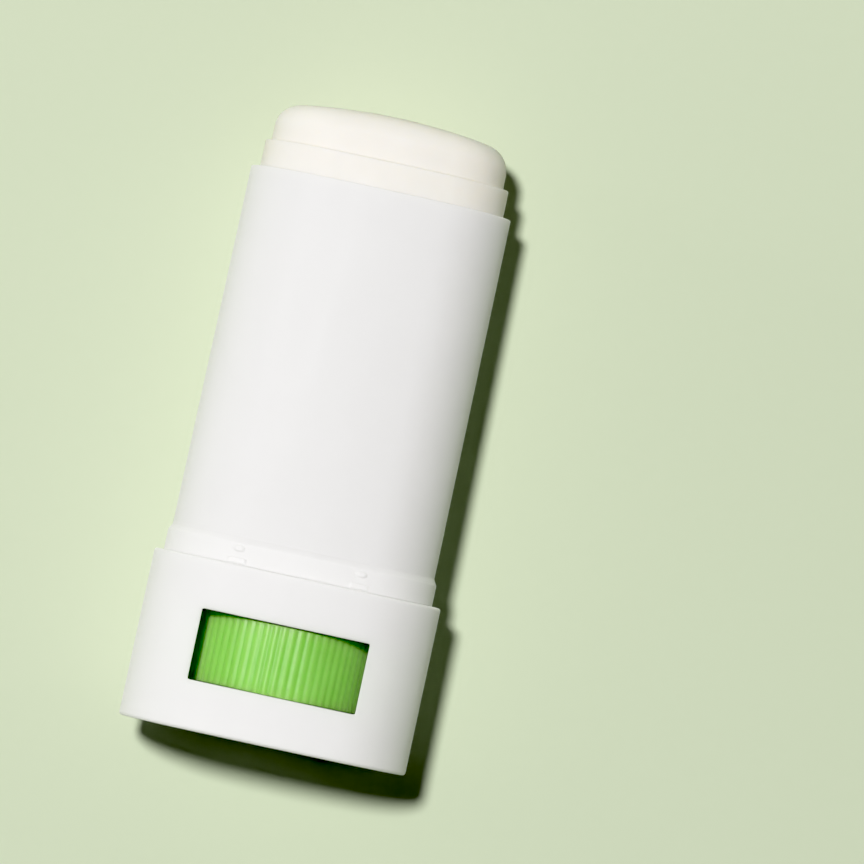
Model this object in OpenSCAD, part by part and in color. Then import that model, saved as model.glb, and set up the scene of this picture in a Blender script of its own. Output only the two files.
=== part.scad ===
// Twist-up sunscreen stick without its overcap: an oval barrel on a wider
// oval base, a ribbed dial that shows in the base's front and back windows,
// and a solid balm on a platform that a lead screw raises.
// Millimetres. Each piece is drawn upright, with Z along the stick and the
// front at -Y, and then laid on its back: +Y runs from the base to the balm
// and +Z is up, out of the front window.

/* [Oval section] */
// Width of the base, its widest part
base_w = 36; // [35:0.5:39]
// Depth of the base, front to back
base_d = 24; // [23:0.5:26]
// Radius of the oval's two narrow ends
end_r = 11.4; // [10.6:0.1:11.4]

/* [Base] */
// Height of the base, from its foot to the ledge
base_h = 21; // [20.4:0.2:24]
// Wall of the base
base_wall = 1.25; // [1:0.05:1.4]
// Thickness of the base's floor
floor_t = 1.4; // [1:0.1:2]
// Chamfer round the foot and the ledge
base_edge = 0.35; // [0.2:0.05:0.6]
// Width of the window
win_w = 20.85; // [16:0.05:22]
// Height of the window
win_h = 8.8; // [8:0.1:9.2]
// Height of the window's centre over the foot
win_z = 10.5; // [10.3:0.1:10.7]

/* [Barrel] */
// Height of the rim over the foot
rim_z = 69.5; // [66:0.5:80]
// How far the collar stands inside the base's outline
collar_in = 1.3; // [1.3:0.05:1.5]
// Height of the collar over the ledge
collar_h = 3.2; // [2:0.1:5]
// How far the barrel stands inside the base's outline
barrel_in = 1.7; // [1.6:0.05:1.9]
// Wall of the barrel
barrel_wall = 0.85; // [0.7:0.05:1]
// Thickness of the deck that carries the screw
deck_t = 1.6; // [1.4:0.1:1.8]

/* [Cap snaps] */
// Distance of each snap from the middle
snap_x = 7.6; // [4:0.1:9]
// Length of the snap bead
snap_w = 1.7; // [1.2:0.1:3]
// How far the bead stands proud
snap_out = 0.3; // [0.2:0.05:0.4]

/* [Dial] */
// How far the dial's ribs lie under the front of the base
dial_in = 0.7; // [0.5:0.1:0.9]
// Gap between the dial and the window's upper and lower edges
dial_gap = 0.3; // [0.25:0.05:0.4]
// Number of grip ribs
ribs = 66; // [48:1:80]
// Depth of the grooves between the ribs
rib_h = 0.3; // [0.2:0.05:0.4]

/* [Screw] */
// Radius of the threaded shaft at half the thread's depth
shaft_r = 2.45; // [2.2:0.05:2.7]
// Height of the shaft's tip over the foot
tip_z = 63.5; // [58:0.5:64]
// Radial running clearance of the journals and the nut
run_c = 0.05; // [0.02:0.01:0.1]

/* [Balm] */
// Height of the platform's underside as the stick is shown
lift_z = 27.2; // [24:0.1:30]
// Height of the balm's shoulder step over the foot
step_z = 72.9; // [71.5:0.1:74]
// Height of the balm's crown over the foot
crown_z = 78.2; // [77.6:0.1:79]
// Gap between the balm and the barrel's bore
balm_gap = 0.2; // [0.15:0.05:0.3]
// Width of the step at the balm's shoulder
step_in = 0.65; // [0.4:0.05:0.9]
// Rounding of the balm's upper edge
dome_r = 3; // [2.4:0.1:3.4]

/* [Hidden] */
$fn = 180;
e = 0.01;

// The oval is four tangent arcs: two narrow ends and two broad sides. Their
// centres stay put, so an inset is the same all the way round.
end_x = base_w / 2 - end_r;
broad_r = (pow(base_w / 2, 2) + pow(base_d / 2, 2) - base_w * end_r) / (base_d - 2 * end_r);
broad_y = broad_r - base_d / 2;
tan_c = end_x / (broad_r - end_r);

bore_in = barrel_in + barrel_wall;
balm_in = bore_in + balm_gap;
dome_in = balm_in + step_in;
dial_h = win_h - 2 * dial_gap;
dial_r = base_d / 2 - dial_in;
dial_z = win_z - dial_h / 2;
flange_t = 0.6;
deck_z = dial_z + dial_h + flange_t + 0.2;
deck_top = deck_z + deck_t;
journal_r = 3;
pivot_r = 1.5;
spigot_r = 2.4;
plate_t = 1.3;
cup_wall = 0.8;
cup_h = 4;
nut_out = 4;
nut_h = 7;
plate_in = bore_in + 0.3;
bore_r = shaft_r + 0.45;

module lay() {
  translate([0, -crown_z / 2, base_d / 2]) rotate([-90, 0, 0]) children();
}

// Oval outline, set in by d from the base's outline
module oval(d) {
  t = join_x(d);
  for (s = [-1, 1]) translate([s * end_x, 0]) circle(end_r - d);
  intersection() {
    translate([0, broad_y]) circle(broad_r - d);
    translate([0, -broad_y]) circle(broad_r - d);
    square([2 * t, 2 * base_d], center = true);
  }
}

// Ring of revolution whose outline is r less the inset, at each height
module turned(r, prof) {
  rotate_extrude() polygon(concat(
    [[0, prof[0][1]]],
    [for (p = prof) [r - p[0], p[1]]],
    [[0, prof[len(prof) - 1][1]]]));
}

// Half-width at which the broad arcs meet the narrow ones, at inset d
function join_x(d) = end_x + (end_r - d) * tan_c;

// Oval solid from a profile of [inset, height] pairs
module oval_solid(prof) {
  n = len(prof) - 1;
  for (s = [-1, 1]) translate([s * end_x, 0, 0]) turned(end_r, prof);
  intersection() {
    translate([0, broad_y, 0]) turned(broad_r, prof);
    translate([0, -broad_y, 0]) turned(broad_r, prof);
    rotate([90, 0, 0]) linear_extrude(2 * base_d, center = true) polygon(concat(
      [for (p = prof) [join_x(p[0]), p[1]]],
      [for (i = [0 : n]) [-join_x(prof[n - i][0]), prof[n - i][1]]]));
  }
}

// Base: an oval cup with a window front and back, a recessed foot, and a
// socket on its floor for the screw's pivot
module base() {
  color([0.94, 0.94, 0.93]) lay() {
    difference() {
      oval_solid([[base_edge, 0], [0, base_edge], [0, base_h - base_edge], [base_edge, base_h]]);
      translate([0, 0, floor_t]) linear_extrude(base_h) oval(base_wall);
      translate([0, 0, -e]) linear_extrude(0.4 + e) oval(2);
      translate([-win_w / 2, -base_d, win_z - win_h / 2]) cube([win_w, 2 * base_d, win_h]);
    }
    difference() {
      translate([0, 0, floor_t - 0.2]) cylinder(h = dial_z - 0.5 - floor_t + 0.2, r = 3.2);
      translate([0, 0, 2]) cylinder(h = dial_z, r = pivot_r + run_c);
    }
  }
}

// Cap snap on the collar: a raised bead over a low pad on the ledge
module snap(z) {
  // the collar's surface and its slope at the snap
  r = broad_r - collar_in;
  a = asin(snap_x / r);
  y = r * cos(a) - broad_y;
  translate([snap_x, -y, 0]) rotate([0, 0, a]) {
    translate([0, 0.15, z + 1.95]) rotate([0, 90, 0]) {
      cylinder(h = snap_w - 0.9, r = snap_out + 0.15, center = true, $fn = 32);
      for (s = [-1, 1]) translate([0, 0, s * (snap_w - 0.9) / 2]) sphere(snap_out + 0.15, $fn = 32);
    }
    translate([-1.2, -0.15, z]) cube([2.4, 0.5, 0.8]);
  }
}

// Barrel: an oval tube on a collar, with a skirt that sits in the base and a
// deck with the screw's bearing
module barrel() {
  color([0.94, 0.94, 0.93]) lay() {
    difference() {
      oval_solid([
        [collar_in, deck_z], [collar_in, base_h + collar_h - 0.4],
        [barrel_in, base_h + collar_h], [barrel_in, rim_z - 0.2], [barrel_in + 0.2, rim_z]]);
      translate([0, 0, deck_top]) linear_extrude(rim_z) oval(bore_in);
      cylinder(h = rim_z, r = journal_r + run_c);
    }
    for (m = [0, 1], n = [0, 1]) mirror([m, 0, 0]) mirror([0, n, 0]) snap(base_h);
  }
}

// Ribbed outline: each rib is a crest with sloped flanks
module rib_outline() {
  p = 360 / ribs;
  polygon([for (i = [0 : ribs - 1]) for (k = [[0, 0], [0.34, 0], [0.5, 1], [0.84, 1]])
    let (r = dial_r - rib_h * k[1], a = (i + k[0] - 0.17) * p - 90) [r * cos(a), r * sin(a)]]);
}

// Dial wheel: a ribbed rim, a thin web and a hub with a keyway
module dial_wheel() {
  color([0.45, 0.75, 0.28]) lay() translate([0, 0, dial_z]) difference() {
    linear_extrude(dial_h) rib_outline();
    translate([0, 0, -0.2]) cylinder(h = 2 * dial_h, r = spigot_r);
    translate([-0.5, 0, -0.2]) cube([1, spigot_r + 0.7, 2 * dial_h]);
    for (z = [-1, dial_h / 2 + 0.6]) translate([0, 0, z]) difference() {
      cylinder(h = dial_h / 2 + 0.4, r = dial_r - 1.5);
      translate([0, 0, -1]) cylinder(h = dial_h + 2, r = 4.6);
    }
  }
}

// Lead screw: pivot, keyed spigot in the dial, flange under the deck,
// journal, snap bead over the deck, and the shaft
module lead_screw() {
  color([0.9, 0.9, 0.88]) lay() {
    rotate_extrude() polygon([
      [0, 2.3], [pivot_r - 0.3, 2.3], [pivot_r, 2.6], [pivot_r, dial_z],
      [spigot_r, dial_z], [spigot_r, dial_z + dial_h], [5, dial_z + dial_h],
      [5, dial_z + dial_h + flange_t], [journal_r, dial_z + dial_h + flange_t],
      [journal_r, deck_top + 0.05], [journal_r + 0.3, deck_top + 0.15],
      [journal_r - 0.1, deck_top + 0.5], [shaft_r, deck_top + 0.5],
      [shaft_r, tip_z - 0.8], [shaft_r - 0.8, tip_z], [0, tip_z]]);
    translate([-0.5, 0, dial_z]) cube([1, spigot_r + 0.7, dial_h]);
  }
}

// Lift platform: an oval cup under the balm with the nut in its middle and
// two ribs that key the balm
module lift_platform() {
  color([0.9, 0.9, 0.88]) lay() translate([0, 0, lift_z]) difference() {
    union() {
      difference() {
        linear_extrude(plate_t + cup_h) oval(plate_in);
        translate([0, 0, plate_t]) linear_extrude(cup_h + 1) oval(plate_in + cup_wall);
      }
      cylinder(h = nut_h, r = nut_out);
      translate([-10.5, -0.5, 0]) cube([21, 1, plate_t + 2.6]);
    }
    translate([0, 0, -1]) cylinder(h = nut_h + 2, r = shaft_r + run_c);
  }
}

// Balm: an oval stick cast in the cup, with a step at its shoulder, a rounded
// and slightly crowned top, and the hole that the screw leaves
module balm() {
  n = 6;
  z0 = crown_z - dome_r;
  crown_r = 74;
  color([0.97, 0.95, 0.91]) lay() difference() {
    union() {
      translate([0, 0, lift_z + plate_t]) linear_extrude(cup_h + 1) oval(plate_in + cup_wall);
      oval_solid([[balm_in, lift_z + plate_t + cup_h], [balm_in, step_z - 0.2], [balm_in + 0.2, step_z]]);
      intersection() {
        oval_solid(concat([[dome_in, step_z - 1], [dome_in, z0]],
          [for (i = [1 : n]) [dome_in + dome_r * (1 - cos(i * 90 / n)), z0 + dome_r * sin(i * 90 / n)]]));
        translate([0, 0, crown_z - crown_r]) rotate([90, 0, 0]) cylinder(h = 2 * base_d, r = crown_r, center = true, $fn = 720);
      }
    }
    cylinder(h = lift_z + plate_t + nut_h - plate_t, r = nut_out);
    translate([-10.5, -0.5, lift_z]) cube([21, 1, plate_t + 2.6]);
    translate([0, 0, lift_z]) cylinder(h = tip_z + 10 - lift_z, r = bore_r);
  }
}

base();
barrel();
dial_wheel();
lead_screw();
lift_platform();
balm();
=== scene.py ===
import math

import bmesh
import bpy
from mathutils import Matrix, Vector, noise


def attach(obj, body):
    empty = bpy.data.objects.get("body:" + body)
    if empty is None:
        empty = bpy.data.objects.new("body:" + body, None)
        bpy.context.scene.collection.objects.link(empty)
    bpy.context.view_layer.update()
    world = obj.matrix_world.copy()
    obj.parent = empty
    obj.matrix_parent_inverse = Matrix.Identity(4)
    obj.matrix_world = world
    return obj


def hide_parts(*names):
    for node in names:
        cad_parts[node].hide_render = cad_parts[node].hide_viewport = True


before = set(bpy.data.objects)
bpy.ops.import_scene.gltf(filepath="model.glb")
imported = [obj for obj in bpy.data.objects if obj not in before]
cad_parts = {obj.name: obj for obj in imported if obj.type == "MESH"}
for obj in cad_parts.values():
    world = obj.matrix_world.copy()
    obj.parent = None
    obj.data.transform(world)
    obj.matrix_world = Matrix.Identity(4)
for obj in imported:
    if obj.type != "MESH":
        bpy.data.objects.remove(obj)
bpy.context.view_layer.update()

# ---------------------------------------------------------------- dimensions
# Millimetres, the same as the part's source. Pieces are drawn upright, with
# Z along the stick and the front at -Y, and laid on their back by place().
END_X, END_R = 6.6, 11.4
BROAD_Y, BROAD_R = 36.0, 48.0
TAN = END_X / (BROAD_R - END_R)
TAN_ANG = math.atan2(BROAD_Y, END_X)
LEN, HALF_D = 78.2, 12.0
WIN_W, WIN_H, WIN_Z = 20.85, 8.8, 10.5
WX = WIN_W / 2
W0, W1 = WIN_Z - WIN_H / 2, WIN_Z + WIN_H / 2
RIM_Z, BASE_H = 69.5, 21.0
DECK, DECK_TOP = 15.4, 17.0
DIAL_Z, DIAL_H, DIAL_R, RIBS = 6.4, 8.2, 11.35, 66
LIFT_Z, STEP_Z, CROWN_Z = 27.2, 72.95, 78.2
LEAD = 3.0


def place(x, y, z):
    return (x / 1000, (z - LEN / 2) / 1000, (HALF_D - y) / 1000)


# ------------------------------------------------------------- mesh helpers
def spread(length, near, step):
    """Positions from 0 to length, close together by each end."""
    n = max(1, round((length - 2 * near[-1]) / step))
    mid = [near[-1] + (length - 2 * near[-1]) * k / n for k in range(1, n)]
    return list(near) + mid + [length - q for q in reversed(near)]


# The window's rounded edge takes WIN_R of the wall's faces round it, and
# WIN_M more lets its corners be round on a square grid.
WIN_R, WIN_M, WIN_C = 0.11, 0.24, 0.22
XH = WX + WIN_R + WIN_M
ZH = WIN_H / 2 + WIN_R + WIN_M
NEAR = [0, 0.14, 0.28, 0.42, 0.6, 0.95]
COLS = [q - XH for q in spread(2 * XH, NEAR, 0.55)]
LEVELS = [q - ZH for q in spread(2 * ZH, NEAR, 1.0)]
N_W, N_E = len(COLS) - 1, 44


def front_y(x, d):
    """The outline's front, set in by d, at x."""
    ax, re, rb = abs(x), END_R - d, BROAD_R - d
    if ax <= END_X + re * TAN:
        return -(math.sqrt(rb * rb - x * x) - BROAD_Y)
    return -math.sqrt(max(re * re - (ax - END_X) ** 2, 0))


def outline(d):
    """Oval outline set in by d, as (x, y) points, counter-clockwise from the
    front's left. The first N_W columns, and the N_W opposite, stand at the
    same x at every inset, so that the windows' sides are parallel. The end
    arcs take the other 4 * N_E points."""
    re = END_R - d
    a_w = math.asin((XH - END_X) / re)
    pts = [(x, front_y(x, d)) for x in COLS[:-1]]
    for i in range(N_E * 2):
        a = -math.pi / 2 + a_w + (math.pi - 2 * a_w) * i / (N_E * 2)
        pts.append((END_X + re * math.cos(a), re * math.sin(a)))
    pts += [(-x, -front_y(x, d)) for x in COLS[:-1]]
    for i in range(N_E * 2):
        a = math.pi / 2 + a_w + (math.pi - 2 * a_w) * i / (N_E * 2)
        pts.append((-END_X + re * math.cos(a), re * math.sin(a)))
    return pts


def rounded(pts, seg=5, support=0.1):
    """Profile corners (u, z, r) as points, with an arc of radius r at each
    corner and a support point just past each end of the arc."""
    out = []
    n = len(pts)
    for i, (u, z, r) in enumerate(pts):
        p = Vector((u, z))
        if r <= 0 or i in (0, n - 1):
            out.append((u, z))
            continue
        a = (Vector(pts[i - 1][:2]) - p)
        b = (Vector(pts[i + 1][:2]) - p)
        la, lb = a.length, b.length
        a.normalize()
        b.normalize()
        ang = a.angle(b)
        if ang > math.pi - 1e-3:
            out.append((u, z))
            continue
        t = r / math.tan(ang / 2)
        c = p + (a + b).normalized() * (r / math.sin(ang / 2))
        s, e = p + a * t, p + b * t
        if la > t + 2 * support:
            q = s + a * support
            out.append((q.x, q.y))
        va, vb = s - c, e - c
        turn = va.angle(vb)
        sign = 1 if va.x * vb.y - va.y * vb.x > 0 else -1
        for k in range(seg + 1):
            w = sign * turn * k / seg
            q = c + Vector((va.x * math.cos(w) - va.y * math.sin(w), va.x * math.sin(w) + va.y * math.cos(w)))
            out.append((q.x, q.y))
        if lb > t + 2 * support:
            q = e + b * support
            out.append((q.x, q.y))
    return out


class Build:
    """A mesh in millimetres, upright, that becomes a piece laid in the frame."""

    def __init__(self):
        self.bm = bmesh.new()

    def vert(self, x, y, z):
        return self.bm.verts.new((x, y, z))

    def row(self, pts, z):
        f = z if callable(z) else (lambda x, y: z)
        return [self.vert(x, y, f(x, y)) for x, y in pts]

    def face(self, vs):
        vs = [v for i, v in enumerate(vs) if v not in vs[:i]]
        if len(vs) > 2:
            try:
                return self.bm.faces.new(vs)
            except ValueError:
                return None

    def strip(self, a, b, skip=()):
        n = len(a)
        for i in range(n):
            if i not in skip:
                self.face([a[i], a[(i + 1) % n], b[(i + 1) % n], b[i]])

    def ladder(self, row):
        """Close an oval row across its depth."""
        n = len(row)
        h = n // 2
        # front starts at index 0 (left end of the window span), back mirrors it
        start = -(N_E)
        idx = [(start + k) % n for k in range(h + 1)]
        opp = [(start - k) % n for k in range(h + 1)]
        for k in range(h):
            self.face([row[idx[k]], row[idx[k + 1]], row[opp[k + 1]], row[opp[k]]])

    def lathe(self, prof, n=64, close=False):
        """Turned part about Z from (r, z) points; a point with r = 0 is a pole."""
        rows = []
        for r, z in prof:
            if r < 1e-6:
                rows.append([self.vert(0, 0, z)] * n)
            else:
                rows.append([self.vert(r * math.cos(2 * math.pi * k / n), r * math.sin(2 * math.pi * k / n), z) for k in range(n)])
        for a, b in zip(rows, rows[1:] + ([rows[0]] if close else [])):
            self.strip(a, b)
        return rows

    def finish(self, name, body, nodes, material, sharp=35, weighted=True):
        bm = self.bm
        bmesh.ops.remove_doubles(bm, verts=bm.verts, dist=1e-5)
        bmesh.ops.recalc_face_normals(bm, faces=bm.faces)
        for v in bm.verts:
            v.co = Vector(place(*v.co))
        me = bpy.data.meshes.new(name)
        bm.to_mesh(me)
        bm.free()
        ob = bpy.data.objects.new(name, me)
        bpy.context.scene.collection.objects.link(ob)
        me.polygons.foreach_set("use_smooth", [True] * len(me.polygons))
        me.update()
        if weighted:
            wn = ob.modifiers.new("normals", "WEIGHTED_NORMAL")
            wn.mode = "FACE_AREA"
            wn.weight = 60
            wn.keep_sharp = True
        me.materials.append(material)
        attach(ob, body)
        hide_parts(*nodes)
        return ob


# ---------------------------------------------------------------- materials
def new_mat(name):
    m = bpy.data.materials.new(name)
    m.use_nodes = True
    nt = m.node_tree
    nt.nodes.clear()
    out = nt.nodes.new("ShaderNodeOutputMaterial")
    bs = nt.nodes.new("ShaderNodeBsdfPrincipled")
    nt.links.new(bs.outputs[0], out.inputs[0])
    return m, nt, bs


def coords(nt, scale=(1, 1, 1)):
    tc = nt.nodes.new("ShaderNodeTexCoord")
    mp = nt.nodes.new("ShaderNodeMapping")
    mp.inputs["Scale"].default_value = scale
    nt.links.new(tc.outputs["Object"], mp.inputs["Vector"])
    return mp.outputs["Vector"]


def noise_tex(nt, vec, scale, detail=2.0, rough=0.5):
    n = nt.nodes.new("ShaderNodeTexNoise")
    n.inputs["Scale"].default_value = scale
    n.inputs["Detail"].default_value = detail
    n.inputs["Roughness"].default_value = rough
    nt.links.new(vec, n.inputs["Vector"])
    return n.outputs["Fac"]


def remap(nt, fac, a, b, lo=0.3, hi=0.7):
    r = nt.nodes.new("ShaderNodeMapRange")
    r.inputs["From Min"].default_value = lo
    r.inputs["From Max"].default_value = hi
    r.inputs["To Min"].default_value = a
    r.inputs["To Max"].default_value = b
    nt.links.new(fac, r.inputs["Value"])
    return r.outputs["Result"]


def two_tone(nt, fac, c1, c2, lo=0.35, hi=0.65):
    r = nt.nodes.new("ShaderNodeValToRGB")
    r.color_ramp.elements[0].position = lo
    r.color_ramp.elements[1].position = hi
    r.color_ramp.elements[0].color = (*c1, 1)
    r.color_ramp.elements[1].color = (*c2, 1)
    nt.links.new(fac, r.inputs["Fac"])
    return r.outputs["Color"]


def bump(nt, bs, height, strength, distance):
    b = nt.nodes.new("ShaderNodeBump")
    b.inputs["Strength"].default_value = strength
    b.inputs["Distance"].default_value = distance
    nt.links.new(height, b.inputs["Height"])
    nt.links.new(b.outputs["Normal"], bs.inputs["Normal"])
    return b


def add(nt, a, b, fb=1.0):
    m = nt.nodes.new("ShaderNodeMath")
    m.operation = "MULTIPLY_ADD"
    nt.links.new(b, m.inputs[0])
    m.inputs[1].default_value = fb
    nt.links.new(a, m.inputs[2])
    return m.outputs[0]


def white_plastic(name, c1, c2, rough=(0.5, 0.6)):
    m, nt, bs = new_mat(name)
    v = coords(nt)
    along = coords(nt, (1, 0.12, 1))
    soft = noise_tex(nt, v, 70, 3, 0.5)
    flow = noise_tex(nt, along, 260, 3, 0.55)
    grain = noise_tex(nt, v, 5200, 2, 0.6)
    nt.links.new(two_tone(nt, soft, c1, c2), bs.inputs["Base Color"])
    nt.links.new(remap(nt, flow, rough[0], rough[1]), bs.inputs["Roughness"])
    bump(nt, bs, add(nt, flow, grain, 0.35), 0.12, 0.00008)
    bs.inputs["IOR"].default_value = 1.49
    bs.inputs["Specular IOR Level"].default_value = 0.3
    bs.inputs["Sheen Weight"].default_value = 0.16
    bs.inputs["Sheen Roughness"].default_value = 0.5
    bs.inputs["Subsurface Weight"].default_value = 0.6
    bs.inputs["Subsurface Radius"].default_value = (1.0, 1.0, 0.97)
    bs.inputs["Subsurface Scale"].default_value = 0.003
    return m


M_BODY = white_plastic("body_plastic", (0.865, 0.86, 0.855), (0.885, 0.88, 0.875))
M_INNER = white_plastic("inner_plastic", (0.74, 0.735, 0.70), (0.77, 0.765, 0.735), (0.3, 0.42))

# dial: glossy green, a little translucent, with faint flow marks, a fine grain in its gloss and a soft sheen
M_DIAL, nt, bs = new_mat("dial_plastic")
v = coords(nt)
soft = noise_tex(nt, v, 160, 3, 0.55)
grain = noise_tex(nt, v, 3800, 2, 0.6)
nt.links.new(two_tone(nt, soft, (0.268, 0.62, 0.118), (0.303, 0.665, 0.143)), bs.inputs["Base Color"])
nt.links.new(remap(nt, grain, 0.4, 0.5), bs.inputs["Roughness"])
bump(nt, bs, grain, 0.15, 0.00006)
bs.inputs["Specular IOR Level"].default_value = 0.4
bs.inputs["IOR"].default_value = 1.49
bs.inputs["Sheen Weight"].default_value = 0.7
bs.inputs["Sheen Roughness"].default_value = 0.45
bs.inputs["Sheen Tint"].default_value = (0.72, 1.0, 0.5, 1.0)
bs.inputs["Subsurface Weight"].default_value = 0.95
bs.inputs["Subsurface Radius"].default_value = (0.8, 1.0, 0.55)
bs.inputs["Subsurface Scale"].default_value = 0.004

# balm: warm ivory wax, translucent at its edges, with a softly uneven skin
M_BALM, nt, bs = new_mat("balm")
v = coords(nt)
along = coords(nt, (1, 0.3, 1))
soft = noise_tex(nt, v, 95, 4, 0.55)
streak = noise_tex(nt, along, 420, 3, 0.6)
fine = noise_tex(nt, v, 2600, 3, 0.6)
nt.links.new(two_tone(nt, soft, (0.815, 0.785, 0.725), (0.845, 0.815, 0.76)), bs.inputs["Base Color"])
nt.links.new(remap(nt, add(nt, streak, fine, 0.5), 0.5, 0.65, 0.5, 1.0), bs.inputs["Roughness"])
bs.inputs["Specular IOR Level"].default_value = 0.35
bump(nt, bs, add(nt, add(nt, soft, streak, 0.35), fine, 0.12), 0.35, 0.00022)
bs.inputs["IOR"].default_value = 1.45
bs.inputs["Subsurface Weight"].default_value = 0.7
bs.inputs["Subsurface Radius"].default_value = (1.0, 0.92, 0.75)
bs.inputs["Subsurface Scale"].default_value = 0.003

# --------------------------------------------------------------------- base
b = Build()
WALL = 1.25
wz = [(WIN_Z + q) for q in LEVELS]
low = rounded([(-2.0, 0.4, 0), (-2.0, 0.0, 0.15), (0.0, 0.0, 0.4), (0.0, wz[0], 0)])
high = rounded([(0.0, wz[-1], 0), (0.0, BASE_H, 0.35), (-WALL, BASE_H, 0.15), (-WALL, wz[-1], 0)])
last = rounded([(-WALL, wz[0], 0), (-WALL, 1.4, 0.3), (-1.8, 1.4, 0)])
outer = [(0.0, z) for z in wz[1:-1]]
prof = low + outer + high + [(-WALL, z) for z in reversed(wz[1:-1])] + last
rows = [b.row(outline(-u), z) for u, z in prof]
k0 = len(low) - 1
k1 = k0 + len(outer) + 1
k2 = k1 + len(high) - 1
k3 = k2 + len(outer) + 1
rows_out = rows[k0:k1 + 1]
rows_in = rows[k2:k3 + 1][::-1]
back0 = N_W + 2 * N_E
cut = set(range(N_W)) | set(range(back0, back0 + N_W))
for k in range(len(rows) - 1):
    b.strip(rows[k], rows[k + 1], cut if k0 <= k < k1 or k2 <= k < k3 else ())
b.ladder(rows[0])
b.ladder(rows[-1])


def round_corner(x, z, hx, hz, rc):
    """A point of a rectangle's edge, moved onto its rounded corner."""
    dx, dz = abs(x) - (hx - rc), abs(z) - (hz - rc)
    if rc <= 0 or dx <= 0 or dz <= 0:
        return x, z
    q = rc / math.hypot(dx, dz)
    return math.copysign(hx - rc + dx * q, x), math.copysign(hz - rc + dz * q, z)


def window(c0, sign):
    """The reveal of a window, from the wall's outer face to its inner face."""
    nz = len(wz) - 1
    path = [(0, i) for i in range(N_W)] + [(j, N_W) for j in range(nz)]
    path += [(nz, i) for i in range(N_W, 0, -1)] + [(j, 0) for j in range(nz, 0, -1)]
    flat = [(COLS[i] * sign, LEVELS[j]) for j, i in path]
    arc = [math.pi / 2 * k / 4 for k in range(5)]
    spec = [(WIN_R * (1 - math.sin(t)), WIN_R * (1 - math.cos(t))) for t in arc]
    spec += [(0.0, WALL / 2)]
    spec += [(WIN_R * (1 - math.cos(t)), WALL - WIN_R * (1 - math.sin(t))) for t in arc]
    rings = [[rows_out[j][c0 + i] for j, i in path]]
    for grow, d in spec:
        hx, hz = WX + grow, WIN_H / 2 + grow
        ring = []
        for x, z in flat:
            x, z = round_corner(x * hx / XH, z * hz / ZH, hx, hz, WIN_C + grow)
            ring.append(b.vert(x, sign * front_y(x, d), WIN_Z + z))
        rings.append(ring)
    rings.append([rows_in[j][c0 + i] for j, i in path])
    for p, q in zip(rings, rings[1:]):
        b.strip(p, q)


window(0, 1)
window(back0, -1)
b.lathe([(0, 2.0), (1.55, 2.0), (1.55, 5.75), (1.7, 5.9), (3.05, 5.9), (3.2, 5.75), (3.2, 1.35), (0, 1.35)], 48)
b.finish("base_shell", "housing", ["base"], M_BODY)

# ------------------------------------------------------------------- barrel
b = Build()
prof = rounded([
    (-1.3, DECK, 0), (-1.3, 20.9, 0.03), (-1.12, 21.06, 0.05), (-1.12, 23.6, 0.4), (-1.54, 24.35, 0.5), (-1.66, RIM_Z, 0.14),
    (-2.55, RIM_Z, 0.14), (-2.55, DECK_TOP, 0.35), (-3.2, DECK_TOP, 0)])
# rows along the tall walls keep the quads short
tall = []
for k, (u, z) in enumerate(prof):
    if tall and (abs(z - tall[-1][1]) > 12 or -1.2 < u == tall[-1][0]):
        u0, z0 = tall[-1]
        for j in range(1, 8):
            tall.append((u0 + (u - u0) * j / 8, z0 + (z - z0) * j / 8))
    tall.append((u, z))
rows = [b.row(outline(-u), z) for u, z in tall]


def to_circle(d, r, w):
    """Between the oval set in by d and a circle of radius r."""
    out = []
    for x, y in outline(d):
        a = math.atan2(y, x)
        out.append((x + (r * math.cos(a) - x) * w, y + (r * math.sin(a) - y) * w))
    return out


for w in (0.4, 0.8, 1.0):
    rows.append(b.row(to_circle(3.2, 3.05, w), DECK_TOP))
rows.append(b.row(to_circle(1.3, 3.05, 1.0), DECK))
for w in (0.7, 0.3):
    rows.append(b.row(to_circle(1.3, 3.05, w), DECK))
for k in range(len(rows)):
    b.strip(rows[k], rows[(k + 1) % len(rows)])


def raise_bumps(b, spots, z_lo, z_hi, reach, cuts):
    """Small moulded bumps raised out of the surface itself: the faces round
    each spot are divided, and their points moved outward. A spot is
    (x, z, width, height, proud, power, share of the size that slopes)."""
    xs = {abs(q[0]) for q in spots}
    near = [f for f in b.bm.faces if z_lo < f.calc_center_median().z < z_hi and abs(f.calc_center_median().y) > 5
            and any(abs(abs(f.calc_center_median().x) - x) < reach for x in xs) and math.hypot(*f.normal.xy) > 0.9
            and abs(abs(f.calc_center_median().y) + front_y(f.calc_center_median().x, 1.12)) < 0.2]
    edges = list({e for f in near for e in f.edges})
    bmesh.ops.subdivide_edges(b.bm, edges=edges, cuts=cuts, use_grid_fill=True)
    for v in b.bm.verts:
        x, y, z = v.co
        if not z_lo - 0.2 < z < z_hi + 0.2 or abs(y) < 5 or abs(abs(y) + front_y(x, 1.12)) > 0.2:
            continue
        rise = 0.0
        for sx, sz, w, h, t, power, slope in spots:
            q = ((abs(abs(x) - sx) * 2 / w) ** power + (abs(z - sz) * 2 / h) ** power) ** (1 / power)
            if q < 1:
                rise = max(rise, t * min(1.0, (1 - q) / slope) ** 0.8)
        if rise:
            v.co += Vector((x / 48, math.copysign(1.0, y), 0)).normalized() * rise
    many = [f for f in b.bm.faces if len(f.verts) > 4]
    bmesh.ops.triangulate(b.bm, faces=many, quad_method="BEAUTY", ngon_method="BEAUTY")


b.bm.normal_update()
raise_bumps(b, [(7.6, BASE_H + 1.95, 1.5, 0.85, 0.22, 2.2, 0.45), (7.6, BASE_H + 0.47, 2.4, 0.72, 0.13, 5.0, 0.22)], BASE_H + 0.05, BASE_H + 2.6, 1.6, 5)
b.finish("barrel_shell", "housing", ["barrel"], M_BODY)

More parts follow.
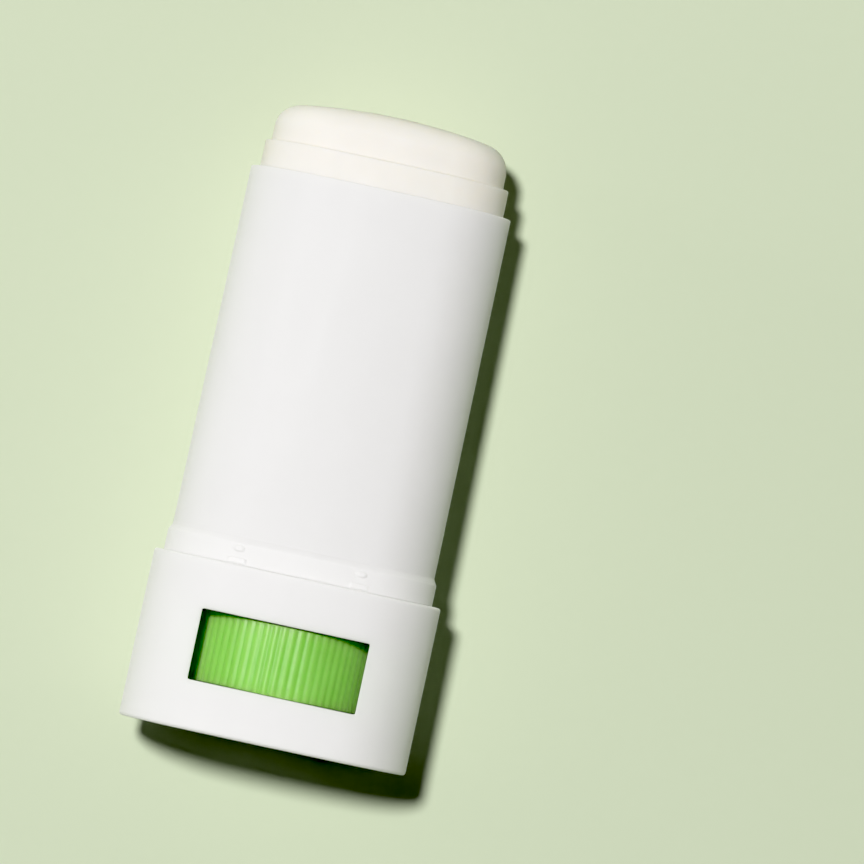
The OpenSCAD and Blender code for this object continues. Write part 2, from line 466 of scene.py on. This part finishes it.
# --------------------------------------------------------------------- dial
b = Build()
PER = 12
N_D = RIBS * PER


def rib_r(k, depth):
    """Radius of column k of the ribbed rim: soft crests, narrower grooves."""
    s = 0.5 - 0.5 * math.cos(2 * math.pi * k / PER)
    return DIAL_R - depth * s ** 1.3


def dial_row(r, z, depth=0.0):
    pts = []
    for k in range(N_D):
        a = 2 * math.pi * k / N_D
        q = r - (DIAL_R - rib_r(k, depth)) if depth else r
        pts.append(b.vert(q * math.sin(a), -q * math.cos(a), z))
    return pts


RIB = 0.11
z0, z1 = DIAL_Z - 0.26, DIAL_Z + DIAL_H + 0.2
zm = (z0 + z1) / 2
spec = [(DIAL_R - 0.2, z0, 0.07), (DIAL_R - 0.09, z0 + 0.02, 0.1), (DIAL_R - 0.02, z0 + 0.08, 0.12), (DIAL_R, z0 + 0.18, RIB)]
spec += [(DIAL_R, z0 + 0.18 + (z1 - z0 - 0.36) * j / 6, RIB) for j in range(1, 7)]
spec += [(DIAL_R - 0.02, z1 - 0.08, 0.12), (DIAL_R - 0.09, z1 - 0.02, 0.1), (DIAL_R - 0.2, z1, 0.07)]
inner = [
    (10.0, z1), (9.85, z1 - 0.1), (9.8, z1 - 0.25), (9.8, zm + 0.9), (9.7, zm + 0.68), (9.5, zm + 0.6),
    (4.9, zm + 0.6), (4.68, zm + 0.68), (4.6, zm + 0.9), (4.6, z1 - 0.15), (4.45, z1), (2.6, z1), (2.4, z1 - 0.1),
    (2.4, z0 + 0.1), (2.6, z0), (4.45, z0), (4.6, z0 + 0.15), (4.6, zm - 0.9), (4.68, zm - 0.68), (4.9, zm - 0.6),
    (9.5, zm - 0.6), (9.7, zm - 0.68), (9.8, zm - 0.9), (9.8, z0 + 0.25), (9.85, z0 + 0.1), (10.0, z0)]
rows = [dial_row(r, z, d) for r, z, d in spec] + [dial_row(r, z) for r, z in inner]
for k in range(len(rows)):
    b.strip(rows[k], rows[(k + 1) % len(rows)])
b.finish("thumb_dial", "dial", ["dial_wheel"], M_DIAL)
z0, z1 = DIAL_Z, DIAL_Z + DIAL_H

# -------------------------------------------------------------- lead screw
b = Build()
b.lathe(rounded([
    (0, 2.3, 0), (1.5, 2.3, 0.25), (1.5, z0, 0.1), (2.4, z0, 0.1), (2.4, z1, 0.1), (5.0, z1, 0.1), (5.0, z1 + 0.6, 0.1),
    (3.0, z1 + 0.6, 0.05), (3.0, DECK_TOP + 0.05, 0), (3.3, DECK_TOP + 0.15, 0), (2.9, DECK_TOP + 0.5, 0.1),
    (2.1, DECK_TOP + 0.5, 0), (0, DECK_TOP + 0.5, 0)], 4, 0.04), 64)


def thread(z, a):
    """Height of the thread, 0 at the root and 1 at the crest, right-handed."""
    p = (z / LEAD - a / (2 * math.pi)) % 1.0
    flank = 0.16
    if p < 0.27:
        return 0.0
    if p < 0.27 + flank:
        return (p - 0.27) / flank
    if p < 0.57 + flank:
        return 1.0
    if p < 0.57 + 2 * flank:
        return 1 - (p - 0.57 - flank) / flank
    return 0.0


def soft_thread(z, a):
    return (thread(z - 0.09, a) + 2 * thread(z, a) + thread(z + 0.09, a)) / 4


N_T = 48
s0, s1 = DECK_TOP + 0.4, 63.5
steps = int((s1 - s0) / 0.125)
rows = []
for i in range(steps + 1):
    z = s0 + (s1 - s0) * i / steps
    fade = min(1, max(0, (z - s0 - 0.6) / 1.2)) * min(1, max(0, (s1 - 0.7 - z) / 1.0))
    taper = 0.55 * max(0, (z - (s1 - 0.8)) / 0.8) ** 1.5
    row = []
    for k in range(N_T):
        a = 2 * math.pi * k / N_T
        r = 2.15 - taper + 0.6 * fade * soft_thread(z, a)
        # a runs about +Z of the drawing, which is +Y of the frame
        row.append(b.vert(r * math.cos(a), r * math.sin(a), z))
    rows.append(row)
for p, q in zip(rows, rows[1:]):
    b.strip(p, q)
b.face(rows[0][::-1])
b.face(rows[-1])
b.finish("screw_spindle", "dial", ["lead_screw"], M_INNER)

# ------------------------------------------------------------ lift platform
b = Build()
PLATE, CUP, NUT_H = 1.3, 4.0, 7.0
prof = rounded([
    (-3.6, LIFT_Z, 0), (-2.85, LIFT_Z, 0.25), (-2.85, LIFT_Z + PLATE + CUP, 0.2), (-3.65, LIFT_Z + PLATE + CUP, 0.2),
    (-3.65, LIFT_Z + PLATE, 0.3), (-4.4, LIFT_Z + PLATE, 0)], 4, 0.08)
rows = [b.row(outline(-u), z) for u, z in prof]
for w in (0.5, 1.0):
    rows.append(b.row(to_circle(4.4, 4.0, w), LIFT_Z + PLATE))
rows.append(b.row(to_circle(4.4, 4.0, 1.0), LIFT_Z + NUT_H - 0.15))
rows.append(b.row(to_circle(4.4, 3.85, 1.0), LIFT_Z + NUT_H))
for i in range(0, 57):
    z = LIFT_Z + NUT_H - NUT_H * i / 56
    row = []
    for x, y in outline(4.4):
        a = math.atan2(y, x)
        r = 2.15 + 0.12 + 0.6 * soft_thread(z, a)
        row.append(b.vert(r * math.cos(a), r * math.sin(a), z))
    rows.append(row)
for w in (0.9, 0.45):
    rows.append(b.row(to_circle(3.6, 4.0, w), LIFT_Z))
for k in range(len(rows)):
    b.strip(rows[k], rows[(k + 1) % len(rows)])


def bar(b, x0, x1, y0, y1, z0, z1, r=0.12):
    geom = bmesh.ops.create_cube(b.bm, size=1.0)
    for v in geom["verts"]:
        v.co = Vector(((x0 + x1) / 2 + v.co.x * (x1 - x0), (y0 + y1) / 2 + v.co.y * (y1 - y0), (z0 + z1) / 2 + v.co.z * (z1 - z0)))
    edges = list({e for v in geom["verts"] for e in v.link_edges})
    bmesh.ops.bevel(b.bm, geom=edges, offset=r, segments=2, profile=0.5, affect="EDGES")


bar(b, 3.6, 10.5, -0.5, 0.5, LIFT_Z + 1.0, LIFT_Z + 3.9)
bar(b, -10.5, -3.6, -0.5, 0.5, LIFT_Z + 1.0, LIFT_Z + 3.9)
b.finish("lift_cup", "lift", ["lift_platform"], M_INNER)

# --------------------------------------------------------------------- balm
b = Build()
BAND, DOME, R_D = 2.66, 3.36, 2.6
CUP_TOP = LIFT_Z + PLATE + CUP


def crown(x, y=0.0):
    """How far the balm's top falls off from its middle."""
    return 1.1 * (abs(x) / 12.7) ** 2 + 0.35 * (abs(y) / 6.0) ** 2


prof = rounded([
    (-4.4, LIFT_Z + PLATE, 0), (-3.65, LIFT_Z + PLATE, 0.2), (-3.65, CUP_TOP, 0), (-BAND, CUP_TOP, 0.1),
    (-BAND, STEP_Z, 0.14), (-DOME + 0.04, STEP_Z + 0.05, 0.14), (-DOME, STEP_Z + 0.6, 0)], 5, 0.08)
tall = []
for u, z in prof:
    if tall and z - tall[-1][1] > 6:
        u1, zz = tall[-1]
        n = int((z - zz) / 2.0)
        for j in range(1, n):
            tall.append((u1 + (u - u1) * j / n, zz + (z - zz) * j / n))
    tall.append((u, z))
rows = [b.row(outline(-u), z) for u, z in tall]
TOP_Z = CROWN_Z + 0.75
zd = TOP_Z - R_D


def dome_row(d, z, w):
    return b.row(outline(d), lambda x, y: z - w * crown(x, y))


# the straight part of the shoulder, then the rounded edge
for j in range(1, 4):
    w = j / 4
    rows.append(dome_row(DOME, STEP_Z + 0.6 + (zd - STEP_Z - 0.6) * w, w))
nq = 12
for j in range(nq + 1):
    t = math.pi / 2 * j / nq
    rows.append(dome_row(DOME + R_D * (1 - math.cos(t)), zd + R_D * math.sin(t), 1.0))
edge = outline(DOME + R_D)
n_top = 7
for j in range(1, n_top + 1):
    q = 1 - j / n_top
    pts = [(x * (1 - 0.06 * (1 - q)), y * q) for x, y in edge]
    rows.append(b.row(pts, lambda x, y: TOP_Z - crown(x, y)))
for p, q in zip(rows, rows[1:]):
    b.strip(p, q)
# the hole that the screw leaves
hole = [b.row(to_circle(4.4, 4.05, w), LIFT_Z + PLATE) for w in (0.5, 1.0)]
hole.append(b.row(to_circle(4.4, 4.05, 1.0), LIFT_Z + NUT_H + 0.05))
hole.append(b.row(to_circle(4.4, 2.95, 1.0), LIFT_Z + NUT_H + 0.05))
hole.append(b.row(to_circle(4.4, 2.95, 1.0), 73.0))
hole.append(b.row(to_circle(4.4, 2.2, 1.0), 73.5))
for p, q in zip([rows[0]] + hole, hole):
    b.strip(q, p)
b.face(hole[-1])
bmesh.ops.remove_doubles(b.bm, verts=b.bm.verts, dist=1e-4)
# a cast solid is never quite true: a soft, even unevenness over its skin
for v_ in b.bm.verts:
    x, y, z = v_.co
    if z > CUP_TOP + 1 and (abs(x) > 3.2 or abs(y) > 3.2 or z > 74):
        k = min(1.0, (z - CUP_TOP - 1) / 4)
        n1 = noise.noise(Vector((x * 0.16 + 3.1, y * 0.16, z * 0.16)))
        n2 = noise.noise(Vector((x * 0.5, y * 0.5 + 7.7, z * 0.35)))
        amount = k * (0.05 * n1 + 0.025 * n2)
        out = Vector((x / 15.0, y / 9.0, max(0.0, (z - 75.0) / 3.2)))
        if out.length > 1e-6:
            v_.co += out.normalized() * (amount - 0.03 * k)
b.finish("balm_stick", "lift", ["balm"], M_BALM, weighted=False)

# -------------------------------------------------------------------- stage
# The stick tips by two degrees until the barrel's rim touches, so the floor
# runs under the base's back edge and the rim.
SLOPE = math.atan2(1.7, RIM_Z - BASE_H)


def floor_z(y_mm):
    """Height of the floor at a frame y in millimetres."""
    return (y_mm - (BASE_H - LEN / 2)) * math.tan(SLOPE)


fm = bpy.data.meshes.new("floor")
S = 3.0
n = 24
verts, faces = [], []
for j in range(n + 1):
    for i in range(n + 1):
        x = -S + 2 * S * i / n
        y = -S + 2 * S * j / n
        verts.append((x, y, y * math.tan(SLOPE) + floor_z(0) / 1000))
for j in range(n):
    for i in range(n):
        a = j * (n + 1) + i
        faces.append((a, a + 1, a + n + 2, a + n + 1))
fm.from_pydata(verts, [], faces)
fm.update()
floor = bpy.data.objects.new("floor", fm)
bpy.context.scene.collection.objects.link(floor)
m, nt, bs = new_mat("floor_paper")
v = coords(nt)
nz = noise_tex(nt, v, 6, 2, 0.5)
nt.links.new(two_tone(nt, nz, (0.575, 0.645, 0.48), (0.585, 0.66, 0.49)), bs.inputs["Base Color"])
nt.links.new(remap(nt, noise_tex(nt, v, 900, 2, 0.5), 0.75, 0.9), bs.inputs["Roughness"])
bs.inputs["Specular IOR Level"].default_value = 0.25
fm.materials.append(m)

# ------------------------------------------------------------------- lights
world = bpy.data.worlds.new("studio")
world.use_nodes = True
bg = world.node_tree.nodes["Background"]
bg.inputs["Color"].default_value = (0.985, 0.99, 1.0, 1)
bg.inputs["Strength"].default_value = 0.026
bpy.context.scene.world = world


def area(name, direction, dist, size, power, colour=(1, 1, 1), shape="DISK"):
    li = bpy.data.lights.new(name, "AREA")
    li.shape = shape
    li.size = size
    li.energy = power
    li.color = colour
    ob = bpy.data.objects.new(name, li)
    d = Vector(direction).normalized()
    ob.location = d * dist
    ob.rotation_mode = "QUATERNION"
    ob.rotation_quaternion = d.to_track_quat("Z", "Y")
    bpy.context.scene.collection.objects.link(ob)
    return ob


area("key", (-0.205, 0.17, 1.0), 1.6, 0.19, 28.6, (1.0, 0.99, 0.975))
area("side", (-1.0, 0.15, 0.12), 1.3, 0.3, 2.1, (1.0, 0.99, 0.98))
area("rim", (1.0, 0.1, 0.12), 1.3, 0.3, 0.9, (1.0, 1.0, 0.98))

sc = bpy.context.scene
sc.view_settings.view_transform = "Standard"
sc.view_settings.look = "None"
sc.view_settings.exposure = 0.0
sc.view_settings.gamma = 1.0
# a photograph's tones: full blacks, and highlights that roll off softly
sc.view_settings.use_curve_mapping = True
sc.view_settings.curve_mapping.black_level = (0.041, 0.041, 0.040)
tone = sc.view_settings.curve_mapping.curves[3]
tone.points[-1].location = (1.0, 0.905)
for at in ((0.3, 0.297), (0.6, 0.588), (0.8, 0.77)):
    tone.points.new(*at)
sc.view_settings.curve_mapping.update()

# ------------------------------------------------------------------- camera
cam = bpy.data.cameras.new("camera")
cam_ob = bpy.data.objects.new("camera", cam)
sc.collection.objects.link(cam_ob)
F_PX = 8000.0
cam.sensor_width = 36.0
cam.lens = F_PX / 864 * 36.0
cam.clip_start = 0.05
cam.clip_end = 20
DIST = 0.9851
ROLL = math.radians(12.18)
PITCH = math.radians(1.63)
# image of a row-frame point p: x right, y up, turned by ROLL
AIM = Vector((0.01235, 0.00295, 0.012))
right = Vector((math.cos(ROLL), math.sin(ROLL), 0))
up = Vector((-math.sin(ROLL), math.cos(ROLL), 0))
fwd = Vector((0, 0, -1))
rot = Matrix((right, up, -fwd)).transposed()
tilt = Matrix.Rotation(PITCH, 3, Vector((1, 0, 0)))
rot = tilt @ rot
cam_ob.rotation_mode = "QUATERNION"
cam_ob.rotation_quaternion = rot.to_quaternion()
cam_ob.location = AIM + rot @ Vector((0, 0, DIST))
sc.camera = cam_ob
